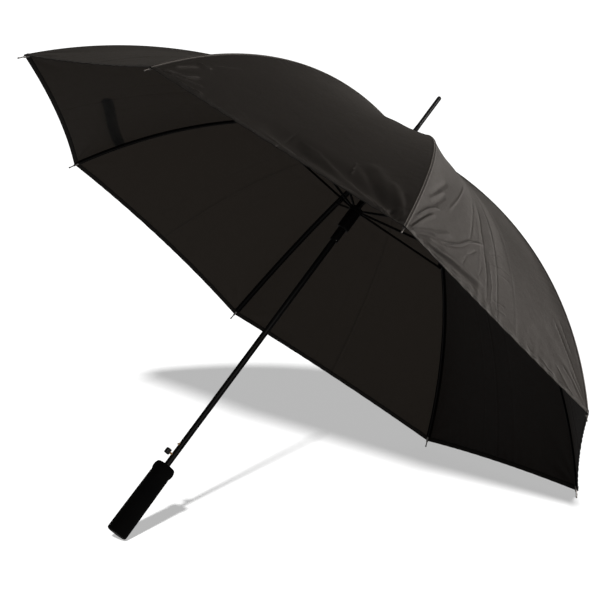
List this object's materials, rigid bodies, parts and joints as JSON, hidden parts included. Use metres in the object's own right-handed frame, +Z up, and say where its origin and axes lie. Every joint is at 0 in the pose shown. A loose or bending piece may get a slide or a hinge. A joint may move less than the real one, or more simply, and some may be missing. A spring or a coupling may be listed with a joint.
{
  "type": "golf umbrella",
  "caption": "Straight-handled automatic golf umbrella, shown open: round sectioned canopy on hinged ribs and stretchers, sliding runner, push-button release and foam grip.",
  "frame": {"origin": "centre of the handle's bottom face, on the shaft axis", "axes": "+Z up the shaft to the ferrule, the release button faces -Y"},
  "size_m": [1.1916, 1.1916, 1],
  "materials": {
    "painted_steel": "satin black enamel",
    "bare_steel": "plain drawn wire",
    "bright_steel": "nickel plated",
    "moulded_black": "moulded, fine texture",
    "gloss_black": "polished",
    "foam": "closed-cell foam, matte",
    "fibreglass": "smooth pultruded rod",
    "canopy_cloth": "tight woven polyester, slight sheen",
    "catch_metal": "yellow passivated steel"
  },
  "bodies": {
    "shaft": {"shaft_tube": "painted_steel", "crown": "moulded_black", "crown_wire": "bare_steel", "crown_pin": "bare_steel", "canopy_rosette": "moulded_black", "ferrule": "gloss_black", "main_spring": "bare_steel", "handle_core": "moulded_black", "handle_grip": "foam", "handle_end_cap": "moulded_black", "catch_pin": "bare_steel", "catch_spring": "bare_steel"},
    "release": {"release_catch": "catch_metal", "release_button": "moulded_black"},
    "rib_1": {"rib_1": "painted_steel", "canopy_1": "canopy_cloth"},
    "rod_1": {"rod_1": "fibreglass", "rib_tip_1": "bright_steel"},
    "stretcher_1": {"stretcher_1": "painted_steel"},
    "rib_2": {"rib_2": "painted_steel", "canopy_2": "canopy_cloth"},
    "rod_2": {"rod_2": "fibreglass", "rib_tip_2": "bright_steel"},
    "stretcher_2": {"stretcher_2": "painted_steel"},
    "rib_3": {"rib_3": "painted_steel", "canopy_3": "canopy_cloth"},
    "rod_3": {"rod_3": "fibreglass", "rib_tip_3": "bright_steel"},
    "stretcher_3": {"stretcher_3": "painted_steel"},
    "rib_4": {"rib_4": "painted_steel", "canopy_4": "canopy_cloth"},
    "rod_4": {"rod_4": "fibreglass", "rib_tip_4": "bright_steel"},
    "stretcher_4": {"stretcher_4": "painted_steel"},
    "rib_5": {"rib_5": "painted_steel", "canopy_5": "canopy_cloth"},
    "rod_5": {"rod_5": "fibreglass", "rib_tip_5": "bright_steel"},
    "stretcher_5": {"stretcher_5": "painted_steel"},
    "rib_6": {"rib_6": "painted_steel", "canopy_6": "canopy_cloth"},
    "rod_6": {"rod_6": "fibreglass", "rib_tip_6": "bright_steel"},
    "stretcher_6": {"stretcher_6": "painted_steel"},
    "rib_7": {"rib_7": "painted_steel", "canopy_7": "canopy_cloth"},
    "rod_7": {"rod_7": "fibreglass", "rib_tip_7": "bright_steel"},
    "stretcher_7": {"stretcher_7": "painted_steel"},
    "rib_8": {"rib_8": "painted_steel", "canopy_8": "canopy_cloth", "closure_strap": "canopy_cloth"},
    "rod_8": {"rod_8": "fibreglass", "rib_tip_8": "bright_steel"},
    "stretcher_8": {"stretcher_8": "painted_steel"},
    "runner": {"runner": "moulded_black", "runner_wire": "bare_steel", "drive_pin": "bright_steel"}
  },
  "joints": [
    {"name": "rib_1_fold", "type": "hinge", "parent": "shaft", "child": "rib_1", "pos_m": [-0.00402, -0.0097, 0.884], "axis": [0.9239, -0.3827, 0], "range_deg": [0, 74.81], "deforming": ["canopy_1", "main_spring"]},
    {"name": "rib_2_fold", "type": "hinge", "parent": "shaft", "child": "rib_2", "pos_m": [0.00402, -0.0097, 0.884], "axis": [0.9239, 0.3827, 0], "range_deg": [0, 74.81], "deforming": ["canopy_2"]},
    {"name": "rib_3_fold", "type": "hinge", "parent": "shaft", "child": "rib_3", "pos_m": [0.0097, -0.00402, 0.884], "axis": [0.3827, 0.9239, 0], "range_deg": [0, 74.81], "deforming": ["canopy_3"]},
    {"name": "rib_4_fold", "type": "hinge", "parent": "shaft", "child": "rib_4", "pos_m": [0.0097, 0.00402, 0.884], "axis": [-0.3827, 0.9239, 0], "range_deg": [0, 74.81], "deforming": ["canopy_4"]},
    {"name": "rib_5_fold", "type": "hinge", "parent": "shaft", "child": "rib_5", "pos_m": [0.00402, 0.0097, 0.884], "axis": [-0.9239, 0.3827, 0], "range_deg": [0, 74.81], "deforming": ["canopy_5"]},
    {"name": "rib_6_fold", "type": "hinge", "parent": "shaft", "child": "rib_6", "pos_m": [-0.00402, 0.0097, 0.884], "axis": [-0.9239, -0.3827, 0], "range_deg": [0, 74.81], "deforming": ["canopy_6"]},
    {"name": "rib_7_fold", "type": "hinge", "parent": "shaft", "child": "rib_7", "pos_m": [-0.0097, 0.00402, 0.884], "axis": [-0.3827, -0.9239, 0], "range_deg": [0, 74.81], "deforming": ["canopy_7"]},
    {"name": "rib_8_fold", "type": "hinge", "parent": "shaft", "child": "rib_8", "pos_m": [-0.0097, -0.00402, 0.884], "axis": [0.3827, -0.9239, 0], "range_deg": [0, 74.81], "deforming": ["canopy_8", "closure_strap"]},
    {"name": "stretcher_1_swing", "type": "hinge", "parent": "rib_1", "child": "stretcher_1", "pos_m": [-0.12051, -0.29094, 0.807], "axis": [0.9239, -0.3827, 0], "range_deg": [-149.62, 0]},
    {"name": "stretcher_2_swing", "type": "hinge", "parent": "rib_2", "child": "stretcher_2", "pos_m": [0.12051, -0.29094, 0.807], "axis": [0.9239, 0.3827, 0], "range_deg": [-149.62, 0]},
    {"name": "stretcher_3_swing", "type": "hinge", "parent": "rib_3", "child": "stretcher_3", "pos_m": [0.29094, -0.12051, 0.807], "axis": [0.3827, 0.9239, 0], "range_deg": [-149.62, 0]},
    {"name": "stretcher_4_swing", "type": "hinge", "parent": "rib_4", "child": "stretcher_4", "pos_m": [0.29094, 0.12051, 0.807], "axis": [-0.3827, 0.9239, 0], "range_deg": [-149.62, 0]},
    {"name": "stretcher_5_swing", "type": "hinge", "parent": "rib_5", "child": "stretcher_5", "pos_m": [0.12051, 0.29094, 0.807], "axis": [-0.9239, 0.3827, 0], "range_deg": [-149.62, 0]},
    {"name": "stretcher_6_swing", "type": "hinge", "parent": "rib_6", "child": "stretcher_6", "pos_m": [-0.12051, 0.29094, 0.807], "axis": [-0.9239, -0.3827, 0], "range_deg": [-149.62, 0]},
    {"name": "stretcher_7_swing", "type": "hinge", "parent": "rib_7", "child": "stretcher_7", "pos_m": [-0.29094, 0.12051, 0.807], "axis": [-0.3827, -0.9239, 0], "range_deg": [-149.62, 0]},
    {"name": "stretcher_8_swing", "type": "hinge", "parent": "rib_8", "child": "stretcher_8", "pos_m": [-0.29094, -0.12051, 0.807], "axis": [0.3827, -0.9239, 0], "range_deg": [-149.62, 0]},
    {"name": "rod_1_flex", "type": "hinge", "parent": "rib_1", "child": "rod_1", "pos_m": [-0.12051, -0.29094, 0.8155], "axis": [0.9239, -0.3827, 0], "range_deg": [-22.11, 0]},
    {"name": "rod_2_flex", "type": "hinge", "parent": "rib_2", "child": "rod_2", "pos_m": [0.12051, -0.29094, 0.8155], "axis": [0.9239, 0.3827, 0], "range_deg": [-22.11, 0]},
    {"name": "rod_3_flex", "type": "hinge", "parent": "rib_3", "child": "rod_3", "pos_m": [0.29094, -0.12051, 0.8155], "axis": [0.3827, 0.9239, 0], "range_deg": [-22.11, 0]},
    {"name": "rod_4_flex", "type": "hinge", "parent": "rib_4", "child": "rod_4", "pos_m": [0.29094, 0.12051, 0.8155], "axis": [-0.3827, 0.9239, 0], "range_deg": [-22.11, 0]},
    {"name": "rod_5_flex", "type": "hinge", "parent": "rib_5", "child": "rod_5", "pos_m": [0.12051, 0.29094, 0.8155], "axis": [-0.9239, 0.3827, 0], "range_deg": [-22.11, 0]},
    {"name": "rod_6_flex", "type": "hinge", "parent": "rib_6", "child": "rod_6", "pos_m": [-0.12051, 0.29094, 0.8155], "axis": [-0.9239, -0.3827, 0], "range_deg": [-22.11, 0]},
    {"name": "rod_7_flex", "type": "hinge", "parent": "rib_7", "child": "rod_7", "pos_m": [-0.29094, 0.12051, 0.8155], "axis": [-0.3827, -0.9239, 0], "range_deg": [-22.11, 0]},
    {"name": "rod_8_flex", "type": "hinge", "parent": "rib_8", "child": "rod_8", "pos_m": [-0.29094, -0.12051, 0.8155], "axis": [0.3827, -0.9239, 0], "range_deg": [-22.11, 0]},
    {"name": "runner_travel", "type": "hinge", "parent": "stretcher_1", "child": "runner", "pos_m": [-0.00402, -0.0097, 0.73], "axis": [0.9239, -0.3827, 0], "range_deg": [0, 74.81]},
    {"name": "release_press", "type": "hinge", "parent": "shaft", "child": "release", "pos_m": [0, -0.0022, 0.132], "axis": [-1, 0, 0], "range_deg": [0, 2.8], "deforming": ["catch_spring"]}
  ],
  "couplings": [
    {"joint": "rib_2_fold", "follows": "rib_1_fold", "ratio": 1},
    {"joint": "rib_3_fold", "follows": "rib_1_fold", "ratio": 1},
    {"joint": "rib_4_fold", "follows": "rib_1_fold", "ratio": 1},
    {"joint": "rib_5_fold", "follows": "rib_1_fold", "ratio": 1},
    {"joint": "rib_6_fold", "follows": "rib_1_fold", "ratio": 1},
    {"joint": "rib_7_fold", "follows": "rib_1_fold", "ratio": 1},
    {"joint": "rib_8_fold", "follows": "rib_1_fold", "ratio": 1},
    {"joint": "stretcher_1_swing", "follows": "rib_1_fold", "ratio": -2},
    {"joint": "stretcher_2_swing", "follows": "rib_1_fold", "ratio": -2},
    {"joint": "stretcher_3_swing", "follows": "rib_1_fold", "ratio": -2},
    {"joint": "stretcher_4_swing", "follows": "rib_1_fold", "ratio": -2},
    {"joint": "stretcher_5_swing", "follows": "rib_1_fold", "ratio": -2},
    {"joint": "stretcher_6_swing", "follows": "rib_1_fold", "ratio": -2},
    {"joint": "stretcher_7_swing", "follows": "rib_1_fold", "ratio": -2},
    {"joint": "stretcher_8_swing", "follows": "rib_1_fold", "ratio": -2},
    {"joint": "rod_1_flex", "follows": "rib_1_fold", "ratio": -0.29544},
    {"joint": "rod_2_flex", "follows": "rib_1_fold", "ratio": -0.29544},
    {"joint": "rod_3_flex", "follows": "rib_1_fold", "ratio": -0.29544},
    {"joint": "rod_4_flex", "follows": "rib_1_fold", "ratio": -0.29544},
    {"joint": "rod_5_flex", "follows": "rib_1_fold", "ratio": -0.29544},
    {"joint": "rod_6_flex", "follows": "rib_1_fold", "ratio": -0.29544},
    {"joint": "rod_7_flex", "follows": "rib_1_fold", "ratio": -0.29544},
    {"joint": "rod_8_flex", "follows": "rib_1_fold", "ratio": -0.29544},
    {"joint": "runner_travel", "follows": "rib_1_fold", "ratio": 1}
  ]
}
